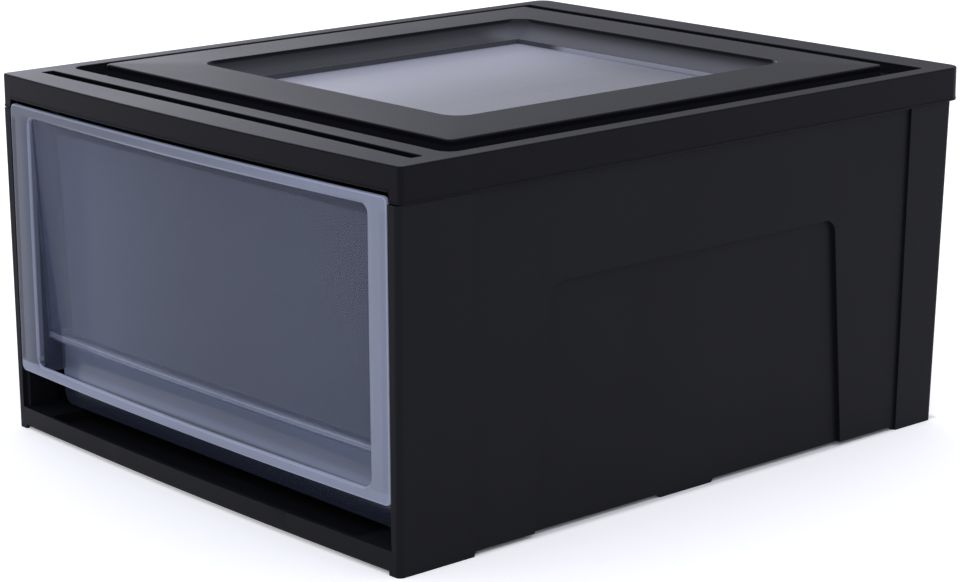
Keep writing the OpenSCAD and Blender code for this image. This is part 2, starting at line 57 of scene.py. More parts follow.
# Lengths and places are in millimetres unless a line says otherwise. An outline of the top
# cover is its half width, front and rear, the radii of its front and rear corners, and how far
# its front edge bows out
COVER_HALF = 200.0
FRONT_RADIUS = 3.5
COVER = (COVER_HALF, -232.05, 237.95, FRONT_RADIUS, 10.0, 5.0)
SLOT = (184.6, -211.55, -202.85, 1.2, 1.2, 0.0)
GROOVE = (187.3, -187.55, 212.45, 9.0, 1.5, 0.0)
FRAME = (171.2, -172.05, 192.45, 3.5, 3.5, 0.0)
WINDOW = (126.4, -129.35, 148.65, 13.0, 13.0, 0.0)
LEAST_RADIUS = 0.3

# Heights on the cover
SKIRT_Z = 213.2
SLOT_Z = 222.7
PANE_TOP = 225.5
GROOVE_Z = 226.7
RIM_Z = 234.7
FRAME_Z = 237.2
CROWN_Z = 238.6

# Thickness of the cover's upright walls and flat sheets, the radii of its edges, the height of
# the band at the skirt's foot, and the step above that band
WALL = 2.5
SHEET = 3.2
SKIRT_ROUND = 0.5
RIM_ROUND = 1.0
GROOVE_ROUND = 0.9
BED_ROUND = 0.8
FRAME_ROUND = 1.3
CROWN_ROUND = 0.9
LIP_ROUND = 0.4
SLOT_ROUND = 0.7
SLOT_BED_ROUND = 0.6
BAND_HEIGHT = 1.5
STEP_IN = 0.3
STEP_UP = 0.4

# The header over the drawer: its half width, its lift, and half the width of the step at its ends
HEADER_HALF = 190.0
HEADER_LIFT = 5.9
HEADER_STEP = 0.3

# The dished wall, its lip, and the landing and locating wall of the window
DISH_WIDTH = 23.0
DISH_DEPTH = 9.9
LIP_Z = CROWN_Z - DISH_DEPTH
LIP_FLAT = 0.5
LANDING = 8.8
PANE_WALL = 3.6
UNDER_INSET = -1.7
UNDER_CLEAR = 0.3

# Counts of steps along rounds, corners, the header, the dished wall and the drawer's border
ROUND_STEPS = 4
CORNER_STEPS = 8
HEADER_STEPS = 24
DISH_STEPS = 16
BORDER_STEPS = 24
FACE_STEPS = 4
ROLL_STEPS = 8

# Places along a front edge from -1 to 1, close together where the header steps up
FRONT_REACH = COVER_HALF - FRONT_RADIUS
HEADER_PLACES = [
    (HEADER_HALF - HEADER_STEP) * (2 * i / HEADER_STEPS - 1) for i in range(HEADER_STEPS + 1)
]
HEADER_END = HEADER_HALF + HEADER_STEP
FRONT_PLACES = [
    x / FRONT_REACH for x in (-FRONT_REACH, -HEADER_END, *HEADER_PLACES, HEADER_END, FRONT_REACH)
]

# Snap hooks under the window, and the drawer's guide blades and stops under the cover, each by
# its low and high corners
HOOK = ((0, -7, 221.9), (4.55, 7, 223.5))
HOOKS_AT = (110.95, (-64.5, 9.65, 83.8))
HOOKS_ACROSS = (55.5, (-113.9, 133.2))
BLADE = ((173.5, -201.35, 206), (176, 211.85, 223.8))
STOP = ((178, -223.05, 208), (185.4, -219.55, 231.8))
BLOCK_EDGE = 0.4

# The drawer's border: half width, foot, top and corner radius of its outer and inner edges
BORDER_OUT = (189.2, 40.5, 216.7, 4.0)
BORDER_IN = (170.7, 47.0, 209.5, 6.0)

# Its face and bow, the skin that the cutter takes off it, the radius of its outer edge, the roll
# of its inner edge as a share of its width, the roll's fall as a share of that, and how far the
# cutter reaches past its edges and ahead of it
BORDER_FACE = -233.35
BORDER_BOW = 4.6
BORDER_SKIM = 0.05
BORDER_EDGE = 0.9
BORDER_ROLL = 0.42
BORDER_FALL = 0.45
BORDER_CLEAR = 1.0
CUTTER_FRONT = -262.0

# Widths of the rounded edges, the gap and angle by which the CAD meshes are joined up, and the
# angles from which an edge is rounded or stays crisp
CASE_EDGE = 1.0
DRAWER_EDGE = 0.7
PANE_EDGE = 0.3
WELD_GAP = 0.01
FLAT_ANGLE = math.radians(0.05)
EDGE_ANGLE = math.radians(35)
CREASE_ANGLE = math.radians(38)

# The room's lights: headings are angles from the x axis, and an edge is where a light begins
# and where it is full. It is about the cosine of the angle to the light's middle, or the height
# of the direction for the light from above
SCREEN_HEADING = math.radians(165)
SCREEN_RISE = 0.12
SCREEN_EDGE = (0.912, 0.99)
SPILL_EDGE = (0.86, 0.93)
DRAPE_HEADING = math.radians(205)
DRAPE_EDGE = (0.8, 1.0)
DRAPE_DEPTH = 0.85
CEILING_EDGE = (0.12, 0.6)

# The floor's radius in metres, and the painted shadow under the box, where the floor hardly glows
FLOOR_RADIUS = 14
FLOOR_SIDES = 96
SHADOW_PATCH_HALVES = {"X": 199.0, "Y": 232.5}
SHADOW_PATCH_FADE = 6.0
SHADOW_PATCH_DEPTH = 0.88

# The camera's sensor, and how far it sees in metres
SENSOR_WIDTH = 36
VIEW_END = 100


# ---------- Settings ----------


class StageSettings(bpy.types.PropertyGroup):
    """Camera, floor and light."""

    azimuth: FloatProperty(
        name="Camera azimuth",
        description="Angle of the camera round the box from its front",
        default=math.radians(48.871),
        subtype="ANGLE",
    )
    elevation: FloatProperty(
        name="Camera elevation",
        description="Angle of the camera above the horizon",
        default=math.radians(14.354),
        subtype="ANGLE",
    )
    roll: FloatProperty(
        name="Camera roll",
        description="Turn of the camera about its own axis",
        default=math.radians(0.285),
        subtype="ANGLE",
    )
    location: FloatVectorProperty(
        name="Camera place",
        description="Where the camera stands",
        default=(1.33067, -1.16299, 0.54079),
        subtype="TRANSLATION",
        unit="LENGTH",
    )
    lens: FloatProperty(
        name="Focal length",
        description="Focal length in millimetres on a 36 mm wide sensor",
        default=104.68,
    )
    floor_color: FloatVectorProperty(
        name="Floor colour",
        description="Colour of the studio floor",
        default=(0.93, 0.93, 0.93),
        subtype="COLOR",
        min=0,
        max=1,
    )
    light_color: FloatVectorProperty(
        name="Light colour",
        description="Tint of the light",
        default=(0.96, 0.97, 1.08),
        subtype="COLOR",
        min=0,
        max=2,
    )
    floor_glow: FloatProperty(
        name="Floor glow",
        description="How far the floor is lifted towards white where it is seen",
        default=0.38,
        min=0,
    )
    room_light: FloatProperty(
        name="Room light",
        description="Brightness of the even light all round",
        default=0.38,
        min=0,
    )
    screen_light: FloatProperty(
        name="Screen light",
        description="Brightness that the white screen at the left adds",
        default=2.4,
        min=0,
    )
    spill_light: FloatProperty(
        name="Spill light",
        description="Brightness added all round the white screen",
        default=0.31,
        min=0,
    )
    ceiling_light: FloatProperty(
        name="Ceiling light",
        description="Brightness that the light from above adds",
        default=0.66,
        min=0,
    )


class PlasticSettings(bpy.types.PropertyGroup):
    """Colours of the four mouldings, and the painted light that the cover takes up from the
    window.
    """

    case_color: FloatVectorProperty(
        name="Case colour",
        description="Colour of the black case",
        default=(0.0095, 0.0099, 0.0122),
        subtype="COLOR",
        min=0,
        max=1,
    )
    cover_color: FloatVectorProperty(
        name="Cover colour",
        description="Colour of the black top cover",
        default=(0.0056, 0.0058, 0.0076),
        subtype="COLOR",
        min=0,
        max=1,
    )
    smoke_color: FloatVectorProperty(
        name="Drawer colour",
        description="Colour of the smoky drawer",
        default=(0.139, 0.170, 0.264),
        subtype="COLOR",
        min=0,
        max=1,
    )
    wall_color: FloatVectorProperty(
        name="Tub wall colour",
        description="Colour of the tub's front wall as it shows through the panel",
        default=(0.218, 0.257, 0.358),
        subtype="COLOR",
        min=0,
        max=1,
    )
    border_color: FloatVectorProperty(
        name="Drawer border colour",
        description="Colour of the frosted border round the drawer front",
        default=(0.24, 0.265, 0.34),
        subtype="COLOR",
        min=0,
        max=1,
    )
    # Painted light: the colour towards which the cover's dished wall, groove and lip are painted
    window_light_color: FloatVectorProperty(
        name="Lip colour",
        description="Light that the cover's lip takes up from the window",
        default=(0.36, 0.37, 0.42),
        subtype="COLOR",
        min=0,
        max=1,
    )
    pane_color: FloatVectorProperty(
        name="Window colour",
        description="Tint of the clear window",
        default=(0.335, 0.345, 0.405),
        subtype="COLOR",
        min=0,
        max=1,
    )


# ---------- Shader expressions ----------


class Wire:
    """One output of a node tree, whose Python operators add Math nodes."""

    def __init__(self, tree, socket):
        self.tree = tree
        self.socket = socket

    def _math(self, operation, *values):
        return self.tree.add("ShaderNodeMath", {"operation": operation}, dict(enumerate(values)))

    def __add__(self, other):
        return self._math("ADD", self, other)

    def __sub__(self, other):
        return self._math("SUBTRACT", self, other)

    def __rsub__(self, other):
        return self._math("SUBTRACT", other, self)

    def __mul__(self, other):
        return self._math("MULTIPLY", self, other)

    def __abs__(self):
        return self._math("ABSOLUTE", self)

    __radd__ = __add__
    __rmul__ = __mul__


class Tree:
    """A node tree that is filled by calls."""

    def __init__(self, owner):
        owner.use_nodes = True
        self.nodes = owner.node_tree.nodes
        self.links = owner.node_tree.links

    def add(self, kind, settings=None, inputs=None, out=0):
        """Adds a node of that kind and returns one of its outputs."""
        node = self.nodes.new(kind)
        for key, value in (settings or {}).items():
            setattr(node, key, value)
        for key, value in (inputs or {}).items():
            self.feed(node.inputs[key], value)
        return Wire(self, node.outputs[out])

    def feed(self, socket, value):
        """Links a wire to a socket, or writes a plain value on it."""
        if isinstance(value, Wire):
            self.links.new(value.socket, socket)
        else:
            socket.default_value = value

    def larger(self, first, second):
        """The larger of two values."""
        return self.add("ShaderNodeMath", {"operation": "MAXIMUM"}, {0: first, 1: second})

    def blend(self, factor, first, second):
        """A colour between two colours."""
        return self.add(
            "ShaderNodeMix", {"data_type": "RGBA"}, {"Factor": factor, 6: first, 7: second}, out=2
        )

    def ease(self, value, low, high):
        """0 below low, 1 above high, and a smooth step between them."""
        return self.add(
            "ShaderNodeMapRange",
            {"interpolation_type": "SMOOTHSTEP"},
            {"Value": value, "From Min": low, "From Max": high},
        )

    def part(self, vector, axis):
        """The X, Y or Z part of a vector."""
        return self.add("ShaderNodeSeparateXYZ", {}, {"Vector": vector}, out=axis)


class Shader(Tree):
    """A material's node tree with a Principled shader at its end."""

    def __init__(self, name):
        self.material = bpy.data.materials.new(name)
        super().__init__(self.material)
        self.surface = self.nodes["Principled BSDF"]

    def set(self, **values):
        """Feeds the Principled shader's sockets, named with _ for a space."""
        for key, value in values.items():
            self.feed(self.surface.inputs[key.replace("_", " ")], value)

    def place(self):
        """The point on the object, in metres."""
        return self.add("ShaderNodeTexCoord", out="Object")

    def axis(self, axis):
        """The point's X, Y or Z, in metres."""
        return self.part(self.place(), axis)

    def noise(self, scale, detail):
        """A noise value between 0 and 1 with that many cells to the metre."""
        inputs = {"Vector": self.place(), "Scale": scale, "Detail": detail}
        return self.add("ShaderNodeTexNoise", {}, inputs)

    def above(self, value, start, fade):
        """0 up to a start and 1 from a fade past it, both given in millimetres."""
        return self.ease(value, start * MM, (start + fade) * MM)

    def below(self, value, end, fade):
        """1 up to a fade short of an end and 0 past it, both given in millimetres."""
        return self.ease(end * MM - value, 0.0, fade * MM)

    def area(self, across, along, half, front, rear, fade):
        """1 inside a rectangle seen from above and 0 outside it."""
        sides = self.below(across, half, fade)
        return sides * self.above(along, front, fade) * self.below(along, rear, fade)

    def beyond(self, across, up, half, foot, top, radius):
        """How far a point is outside an upright rounded rectangle, in metres, or less than 0."""
        side = across - (half - radius) * MM
        end = abs(up - (foot + top) / 2 * MM) - ((top - foot) / 2 - radius) * MM
        past = {0: self.larger(side, 0), 1: self.larger(end, 0)}
        corner = self.add("ShaderNodeCombineXYZ", {}, past)
        length = {"operation": "LENGTH"}
        outside = self.add("ShaderNodeVectorMath", length, {0: corner}, out="Value")
        return outside - self.larger(0 - self.larger(side, end), 0) - radius * MM

    def bump(self, height, depth, strength):
        """A normal from a height between 0 and 1 that stands for a depth in millimetres."""
        inputs = {"Height": height, "Distance": depth * MM, "Strength": strength}
        return self.add("ShaderNodeBump", {}, inputs)


def shade(color, factor=1.0):
    """A colour made lighter or darker, with its alpha."""
    return (*(part * factor for part in color), 1.0)


def shades(color, factors):
    """Named lighter and darker forms of a colour."""
    return {name: shade(color, factor) for name, factor in factors.items()}


# ---------- Finishes ----------

# Where a finish or its painted light and shade changes: the place where it starts or ends and
# the width over which it fades. An area is its half width, front, rear and fade

# The cover's dished wall, with painted light from the window: the area, its foot, the parts
# painted lighter low down and at the rear, and the painted light all over, low down and low at the
# rear
DISH_AREA = (126.2, -129.2, 148.5, 1.0)
DISH_FOOT = (228.4, 0.2)
DISH_LOW = (237.0, 8.0)
DISH_REAR = (100.0, 25.0)
DISH_LIGHT = (0.062, 0.01, 0.15)

# The cover's stacking groove, with a little painted light from the window
GROOVE_AREA = (188.0, -188.2, 213.1, 0.6)
GROOVE_TOP = (233.8, 0.8)
GROOVE_LIGHT = 0.02

# The lip's edge over the window, with a painted highlight that is bright along the rear from a
# place on the left
LIP_AREA = (105.0, -108.0, 127.0, 0.5)
LIP_FOOT = (225.0, 0.6)
LIP_TOP = (228.6, 0.4)
LIP_REAR = (124.0, 1.0)
LIP_LEFT = (-72.0, 20.0)
LIP_LIGHT = (0.15, 0.85)
LIP_TINT = 1.3

# Black plastic: shades of its clouds, and how much clouds and grain change its roughness
BLACK_SHADES = {"dark": 0.8, "light": 1.25}
BLACK_VARIETY = (0.08, 0.1)
CASE_ROUGHNESS = 0.42
COVER_ROUGHNESS = 0.36

# The drawer's frosted border, from its inner edge outwards and in front of a place, its foot with
# painted light, and the painted light that grows towards the right
FROST_EDGE = (-0.6, 0.6)
FROST_REAR = (-226.8, 2.0)
FROST_FOOT = (47.6, 0.6)
FROST_LIT = (-120.0, 310.0)
FROST_LIGHT_AND_SHADE = {"dim": 0.7, "lit": 1.32, "foot": 1.9, "post": 0.1, "edge": 2.4, "line": 2.6}
FOOT_LIGHT = 0.3
EDGE_LIGHT = 0.55

# The border's outer strip over the dark post, painted darker, with its depth in the painted shade
# and what the painted light takes off
STRIP_SIDE = (183.2, 1.0)
STRIP_FOOT = (46.5, 4.0)
STRIP_TOP = (210.0, 4.0)
STRIP_DEPTH = (0.6, 0.5)

# Painted highlights: lines of light round the border's outer and inner edges, by their distance
# from those edges
OUTER_LINE = (-1.2, 0.5)
INNER_LINE_START = (-0.1, 0.3)
INNER_LINE_END = (1.6, 0.5)

# The panel, with painted shade that darkens it towards the right, and the foot of the tub, which
# is painted dark for the shade of the case
PANEL_PAINTED_SHADE_RISE = (-190.0, 210.0)
PANEL_PAINTED_SHADES = {"left": 1.0, "right": 0.72, "foot": 0.24}
TUB_FOOT = (37.5, 4.0)

# Smoky plastic: how far clouds darken it, its roughness with what frost and clouds add, and its
# alpha with what the border and the wall add
SMOKE_CLOUD = 0.16
SMOKE_ROUGHNESS = (0.14, 0.22, 0.05)
SMOKE_ALPHA = (0.32, 0.5)

# The tub's front wall, painted darker towards the right: its faces, its top, its half width at the
# foot and how that widens with height, and the gap for the fingers below the panel, with painted
# light high up and at its foot
TUB_WALL_FRONT = (-212.5, 0.3)
TUB_WALL_REAR = (-204.5, 1.0)
TUB_WALL_TOP = (197.2, 1.0)
TUB_WALL_FOOT = 66.0
TUB_WALL_HALF = 162.0
TUB_WALL_LEAN = 0.066
TUB_WALL_FADE = 1.5
TUB_WALL_LIGHT_AND_SHADE = {"left": 0.95, "right": 0.6, "gap": 2.2}
GAP_TOP = (66.8, 1.0)
GAP_HIGH = (46.0, 10.0)
GAP_LOW = (44.0, 6.0)
GAP_PAINTED_LIGHT = (0.04, 0.22, 0.28)

# Painted highlights: light lines down the panel's sides and the bead of light along the ledge
SIDE_LINE = (169.2, 0.4)
SIDE_FRONT = (-234.5, 0.5)
SIDE_REAR = (-218.0, 1.0)
SIDE_FOOT = (64.0, 0.5)
SIDE_LIGHT = 0.6
BEAD_FOOT = (64.6, 0.8)
BEAD_TOP = (68.0, 0.4)
BEAD_REAR = (-221.0, 0.5)
BEAD_LIGHT = 0.85

# The window's painted light and shade, lighter at the left and darker at the right, with its
# clouds, its roughness with what waves add, and its two faint darker bands
PANE_PAINTED_SHADE_RISE = (-100.0, 145.0)
PANE_LIGHT_AND_SHADE = {"left": 1.46, "right": 0.64}
PANE_CLOUD = 0.2
PANE_ROUGHNESS = (0.24, 0.06)
LEFT_BAND = (-74.0, 6.0)
LEFT_BAND_DEPTH = 0.05
RIGHT_BAND_START = (33.0, 1.5)
RIGHT_BAND_END = (40.0, 5.0)
RIGHT_BAND_DEPTH = 0.08


def window_light(shader, tone, lip):
    """Painted light: the light that the cover's dished wall, groove and lip take up from the
    window.
    """
    x, y, z = (shader.axis(axis) for axis in "XYZ")
    across = abs(x)
    dish = shader.area(across, y, *DISH_AREA) * shader.above(z, *DISH_FOOT)
    all_over, low, low_rear = DISH_LIGHT
    light = shader.below(z, *DISH_LOW) * (shader.above(y, *DISH_REAR) * low_rear + low) + all_over
    tone = shader.blend(dish * light, tone, shade(lip))
    groove = shader.area(across, y, *GROOVE_AREA) * shader.below(z, *GROOVE_TOP)
    tone = shader.blend(groove * (1 - dish) * GROOVE_LIGHT, tone, shade(lip))
    edge = shader.area(across, y, *LIP_AREA)
    edge = edge * shader.above(z, *LIP_FOOT) * shader.below(z, *LIP_TOP)
    rear = shader.above(y, *LIP_REAR) * shader.above(x, *LIP_LEFT)
    all_over, rear_only = LIP_LIGHT
    return shader.blend(edge * (rear * rear_only + all_over), tone, shade(lip, LIP_TINT))


def black_plastic(name, color, roughness, lip=None):
    """Fine-grained matte black moulding, whose lip round the window is painted with light from it.
    """
    shader = Shader(name)
    cloud = shader.noise(scale=9.0, detail=3.0)
    grain = shader.noise(scale=2600.0, detail=1.0)
    black = shades(color, BLACK_SHADES)
    tone = shader.blend(cloud, black["dark"], black["light"])
    if lip:
        tone = window_light(shader, tone, lip)
    by_cloud, by_grain = BLACK_VARIETY
    shader.set(
        Base_Color=tone,
        Roughness=roughness + (cloud - 0.5) * by_cloud + (grain - 0.5) * by_grain,
        IOR=1.15,
        Normal=shader.bump(grain, depth=0.03, strength=0.5),
    )
    return shader.material


def smoke_plastic(name, color, back, border):
    """Smoky clear moulding: see-through panel and tub, with a lighter frosted border in front, and
    painted light and shade on them.
    """
    shader = Shader(name)
    frosted = shades(border, FROST_LIGHT_AND_SHADE)
    smoky = shades(color, PANEL_PAINTED_SHADES)
    behind = shades(back, TUB_WALL_LIGHT_AND_SHADE)
    x, y, z = (shader.axis(axis) for axis in "XYZ")
    across = abs(x)
    outer = shader.beyond(across, z, *BORDER_OUT)
    inner = shader.beyond(across, z, *BORDER_IN)
    edge = shader.above(inner, *FROST_EDGE)
    foot = shader.below(z, *FROST_FOOT)
    frost = edge * shader.below(y, *FROST_REAR)
    # Painted light: the border takes up light from the floor and from the open end at the right
    lit = shader.larger(shader.above(x, *FROST_LIT), foot)
    tone = shader.blend(lit, frosted["dim"], frosted["lit"])
    tone = shader.blend(foot * FOOT_LIGHT, tone, frosted["foot"])
    # Its outer strip lies on the dark post and is painted darker, deepest in the painted shade;
    # painted highlights run along its edges
    depth, less = STRIP_DEPTH
    strip = shader.above(across, *STRIP_SIDE) * (depth - lit * less)
    strip = strip * shader.above(z, *STRIP_FOOT) * shader.below(z, *STRIP_TOP)
    tone = shader.blend(strip, tone, frosted["post"])
    line = shader.above(inner, *INNER_LINE_START) * shader.below(inner, *INNER_LINE_END)
    line = shader.larger(shader.above(outer, *OUTER_LINE), line)
    tone = shader.blend(line * EDGE_LIGHT, tone, frosted["edge"])
    # Painted shade: the panel is darker towards the right
    dark = shader.above(x, *PANEL_PAINTED_SHADE_RISE)
    tone = shader.blend(frost, shader.blend(dark, smoky["left"], smoky["right"]), tone)
    # The tub's front wall behind the panel, and below it where the fingers reach, with painted
    # shade towards the right above the gap and painted light in the gap
    wall = shader.above(y, *TUB_WALL_FRONT) * shader.below(y, *TUB_WALL_REAR)
    half = (z - TUB_WALL_FOOT * MM) * TUB_WALL_LEAN + TUB_WALL_HALF * MM
    inside = shader.above(half - across, 0.0, TUB_WALL_FADE) * shader.below(z, *TUB_WALL_TOP)
    gap = shader.below(z, *GAP_TOP)
    wall = wall * shader.larger(inside, gap)
    seen = shader.blend(dark * (1 - gap), behind["left"], behind["right"])
    tone = shader.blend(wall, tone, seen)
    all_over, high, low = GAP_PAINTED_LIGHT
    light = shader.above(z, *GAP_HIGH) * high + shader.below(z, *GAP_LOW) * low + all_over
    tone = shader.blend(wall * gap * light, tone, behind["gap"])
    # Painted highlights down the panel's sides and along the ledge
    side = shader.above(across, *SIDE_LINE) * shader.above(y, *SIDE_FRONT)
    side = side * shader.below(y, *SIDE_REAR) * shader.above(z, *SIDE_FOOT)
    bead = shader.above(z, *BEAD_FOOT) * shader.below(z, *BEAD_TOP)
    bead = bead * shader.below(y, *BEAD_REAR)
    line = shader.larger(side * SIDE_LIGHT, bead * BEAD_LIGHT)
    tone = shader.blend(line * (1 - edge), tone, frosted["line"])
    # Foot of the tub, in the shade of the case
    tone = shader.blend(shader.below(z, *TUB_FOOT) * (1 - frost), tone, smoky["foot"])
    cloud = shader.noise(scale=14.0, detail=3.0)
    grain = shader.noise(scale=1800.0, detail=1.0)
    roughness, by_frost, by_cloud = SMOKE_ROUGHNESS
    alpha, by_cover = SMOKE_ALPHA
    shader.set(
        Base_Color=shader.blend(cloud * SMOKE_CLOUD, tone, BLACK),
        Roughness=roughness + frost * by_frost + (cloud - 0.5) * by_cloud,
        Alpha=alpha + shader.larger(frost, wall) * by_cover,
        IOR=1.36,
        Normal=shader.bump(grain * frost, depth=0.02, strength=0.3),
    )
    return shader.material


def clear_plastic(name, color):
    """Clear flat window plate with a faintly frosted face, painted lighter at the left and darker
    at the right.
    """
    shader = Shader(name)
    cloud = shader.noise(scale=7.0, detail=2.0)
    wave = shader.noise(scale=5.0, detail=1.0)
    x = shader.axis("X")
    clear = shades(color, PANE_LIGHT_AND_SHADE)
    # Painted light at the left and painted shade at the right
    dark = shader.above(x, *PANE_PAINTED_SHADE_RISE) + (cloud - 0.5) * PANE_CLOUD
    tone = shader.blend(dark, clear["left"], clear["right"])
    # Two faint darker bands across the plate
    left = shader.below(x, *LEFT_BAND) * LEFT_BAND_DEPTH
    right = shader.above(x, *RIGHT_BAND_START) * shader.below(x, *RIGHT_BAND_END)
    roughness, by_wave = PANE_ROUGHNESS
    shader.set(
        Base_Color=shader.blend(left + right * RIGHT_BAND_DEPTH, tone, BLACK),
        Roughness=roughness + wave * by_wave,
        Transmission_Weight=0.3,
        IOR=1.49,
        Normal=shader.bump(wave, depth=0.4, strength=0.2),
    )
    return shader.material


# ---------- Surfaces ----------


class Shell:
    """A closed surface sewn from loops of points, given in millimetres."""

    def __init__(self):
        self.mesh = bmesh.new()

    def ring(self, points):
        """A closed loop of corners."""
        return [self.mesh.verts.new(Vector(point) * MM) for point in points]

    def rings(self, loops):
        """A closed loop of corners for each loop of points."""
        return [self.ring(points) for points in loops]

    def sew(self, *rings):
        """Joins loops of equal counts, one to the next, by strips of faces."""
        for first, second in zip(rings, rings[1:]):
            for i, corner in enumerate(first):
                self.mesh.faces.new((corner, first[i - 1], second[i - 1], second[i]))

    def fill(self, *rings):
        """A flat face inside the first loop, with the others as holes."""
        corners = [corner for ring in rings for corner in ring]
        for face in tessellate_polygon([[corner.co for corner in ring] for ring in rings]):
            if len(set(face)) == 3:
                self.mesh.faces.new([corners[i] for i in face])

    def block(self, low, high, turn=0.0, at=(0, 0)):
        """A small block with softened edges, turned about the upright line through at."""
        low, high = Vector(low), Vector(high)
        size = Matrix.Diagonal((*(high - low), 1.0))
        place = Matrix.Translation((*at, 0)) @ Matrix.Rotation(turn, 4, "Z")
        made = bmesh.ops.create_cube(
            self.mesh,
            size=1,
            matrix=Matrix.Scale(MM, 4) @ place @ Matrix.Translation((low + high) / 2) @ size,
        )["verts"]
        bmesh.ops.bevel(
            self.mesh,
            geom=list(dict.fromkeys(line for corner in made for line in corner.link_edges)),
            offset=BLOCK_EDGE * MM,
            segments=2,
            affect="EDGES",
        )

    def build(self, name):
        """An object of the sewn surface, with its faces turned outwards."""
        bmesh.ops.recalc_face_normals(self.mesh, faces=self.mesh.faces)
        data = bpy.data.meshes.new(name)
        self.mesh.to_mesh(data)
        self.mesh.free()
        return add_object(name, data)


def add_object(name, data):
    """An object with that data, linked to the scene."""
    made = bpy.data.objects.new(name, data)
    bpy.context.scene.collection.objects.link(made)
    return made


def stand_in(piece, material, body, node):
    """Smooth faces, crisp creases and a finish for a piece that stands for a CAD node."""
    piece.data.materials.clear()
    piece.data.materials.append(material)
    piece.data.shade_smooth()
    piece.data.set_sharp_from_angle(angle=CREASE_ANGLE)
    normals = piece.modifiers.new("normals", "WEIGHTED_NORMAL")
    normals.keep_sharp = True
    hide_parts(node)
    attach(piece, body)


def rounding(radius, start, end, steps=ROUND_STEPS):
    """Offsets along a round between two directions given in degrees."""
    turns = [math.radians(start + (end - start) * i / steps) for i in range(steps + 1)]
    return [(radius * math.cos(turn), radius * math.sin(turn)) for turn in turns]


def level(outline, inset, z, lift=0.0):
    """A loop at the height z, moved inwards from an outline, with the header's part lifted."""
    half, front, rear, front_r, rear_r, bow = outline
    half, front, rear = half - inset, front + inset, rear - inset
    front_r, rear_r = max(front_r - inset, LEAST_RADIUS), max(rear_r - inset, LEAST_RADIUS)
    reach = half - front_r
    line = [(x * reach, front - bow * (1 - (x * reach / COVER_HALF) ** 2)) for x in FRONT_PLACES]
    corners = (
        (-reach, line[0][1] + front_r, front_r, 180),
        (reach, line[0][1] + front_r, front_r, 270),
        (half - rear_r, rear - rear_r, rear_r, 0),
        (rear_r - half, rear - rear_r, rear_r, 90),
    )
    arcs = [
        [(x + a, y + b) for a, b in rounding(radius, start, start + 90, CORNER_STEPS)]
        for x, y, radius, start in corners
    ]
    points = arcs[0] + line[1:-1] + arcs[1] + arcs[2] + arcs[3]
    header_rear = front + front_r
    lifted = [abs(x) < HEADER_HALF and y < header_rear for x, y in points]
    return [(x, y, z + lift * part) for (x, y), part in zip(points, lifted)]


def rolled(outline, inset, z, radius, start, end, lift=0.0):
    """Loops round an edge, whose middle is at that inset and height, between two directions."""
    return [level(outline, inset + x, z + up, lift) for x, up in rounding(radius, start, end)]


def skirt_levels():
    """The cover's outer face, from the skirt's inner wall round its foot and up to the rim."""
    foot, band, step_rim = SKIRT_ROUND, SKIRT_Z + BAND_HEIGHT, STEP_IN + RIM_ROUND
    return [
        level(COVER, WALL, RIM_Z - SHEET),
        level(COVER, WALL, SKIRT_Z, HEADER_LIFT),
        *rolled(COVER, foot, SKIRT_Z + foot, foot, 270, 180, HEADER_LIFT),
        level(COVER, 0, band, HEADER_LIFT),
        level(COVER, STEP_IN, band + STEP_UP, HEADER_LIFT),
        *rolled(COVER, step_rim, RIM_Z - RIM_ROUND, RIM_ROUND, 180, 90),
    ]


def dish_point(step, under=0.0):
    """The inset and height of a point on the dished wall, or that far under it."""
    turn = math.radians(90 * step / DISH_STEPS)
    inset = DISH_WIDTH * (1 - math.cos(turn)) - under
    return inset, CROWN_Z - (DISH_DEPTH + under) * math.sin(turn)


def upper_levels():
    """From the rim down the stacking groove and over the window's frame to the lip."""
    return [
        *rolled(GROOVE, -GROOVE_ROUND, RIM_Z - GROOVE_ROUND, GROOVE_ROUND, 90, 0),
        *rolled(GROOVE, BED_ROUND, GROOVE_Z + BED_ROUND, BED_ROUND, 180, 270),
        *rolled(FRAME, -BED_ROUND, GROOVE_Z + BED_ROUND, BED_ROUND, 270, 360),
        *rolled(FRAME, FRAME_ROUND, FRAME_Z - FRAME_ROUND, FRAME_ROUND, 180, 90),
        *rolled(WINDOW, -CROWN_ROUND, CROWN_Z - CROWN_ROUND, CROWN_ROUND, 90, 10),
        *(level(WINDOW, *dish_point(step)) for step in range(2, DISH_STEPS)),
        level(WINDOW, DISH_WIDTH - LIP_FLAT, LIP_Z),
        *rolled(WINDOW, DISH_WIDTH - LIP_ROUND, LIP_Z - LIP_ROUND, LIP_ROUND, 70, 0),
    ]


def under_levels():
    """The window's landing, its locating wall and the underside back to the skirt."""
    wall, wall_z = DISH_WIDTH - LANDING, PANE_TOP - PANE_WALL
    frame_z, groove_z, rim_z = FRAME_Z - SHEET, GROOVE_Z - SHEET, RIM_Z - SHEET
    dish = [dish_point(step, SHEET) for step in range(DISH_STEPS, 1, -1)]
    return [
        level(WINDOW, DISH_WIDTH, PANE_TOP),
        level(WINDOW, wall + WALL, PANE_TOP),
        level(WINDOW, wall + WALL, wall_z),
        level(WINDOW, wall, wall_z),
        level(WINDOW, wall, PANE_TOP),
        *(
            level(WINDOW, inset, z)
            for inset, z in dish
            if inset < wall - UNDER_CLEAR and PANE_TOP + UNDER_CLEAR < z < frame_z - UNDER_CLEAR
        ),
        level(WINDOW, UNDER_INSET, frame_z),
        level(FRAME, WALL, frame_z),
        level(FRAME, WALL, groove_z),
        level(GROOVE, -WALL, groove_z),
        level(GROOVE, -WALL, rim_z),
    ]


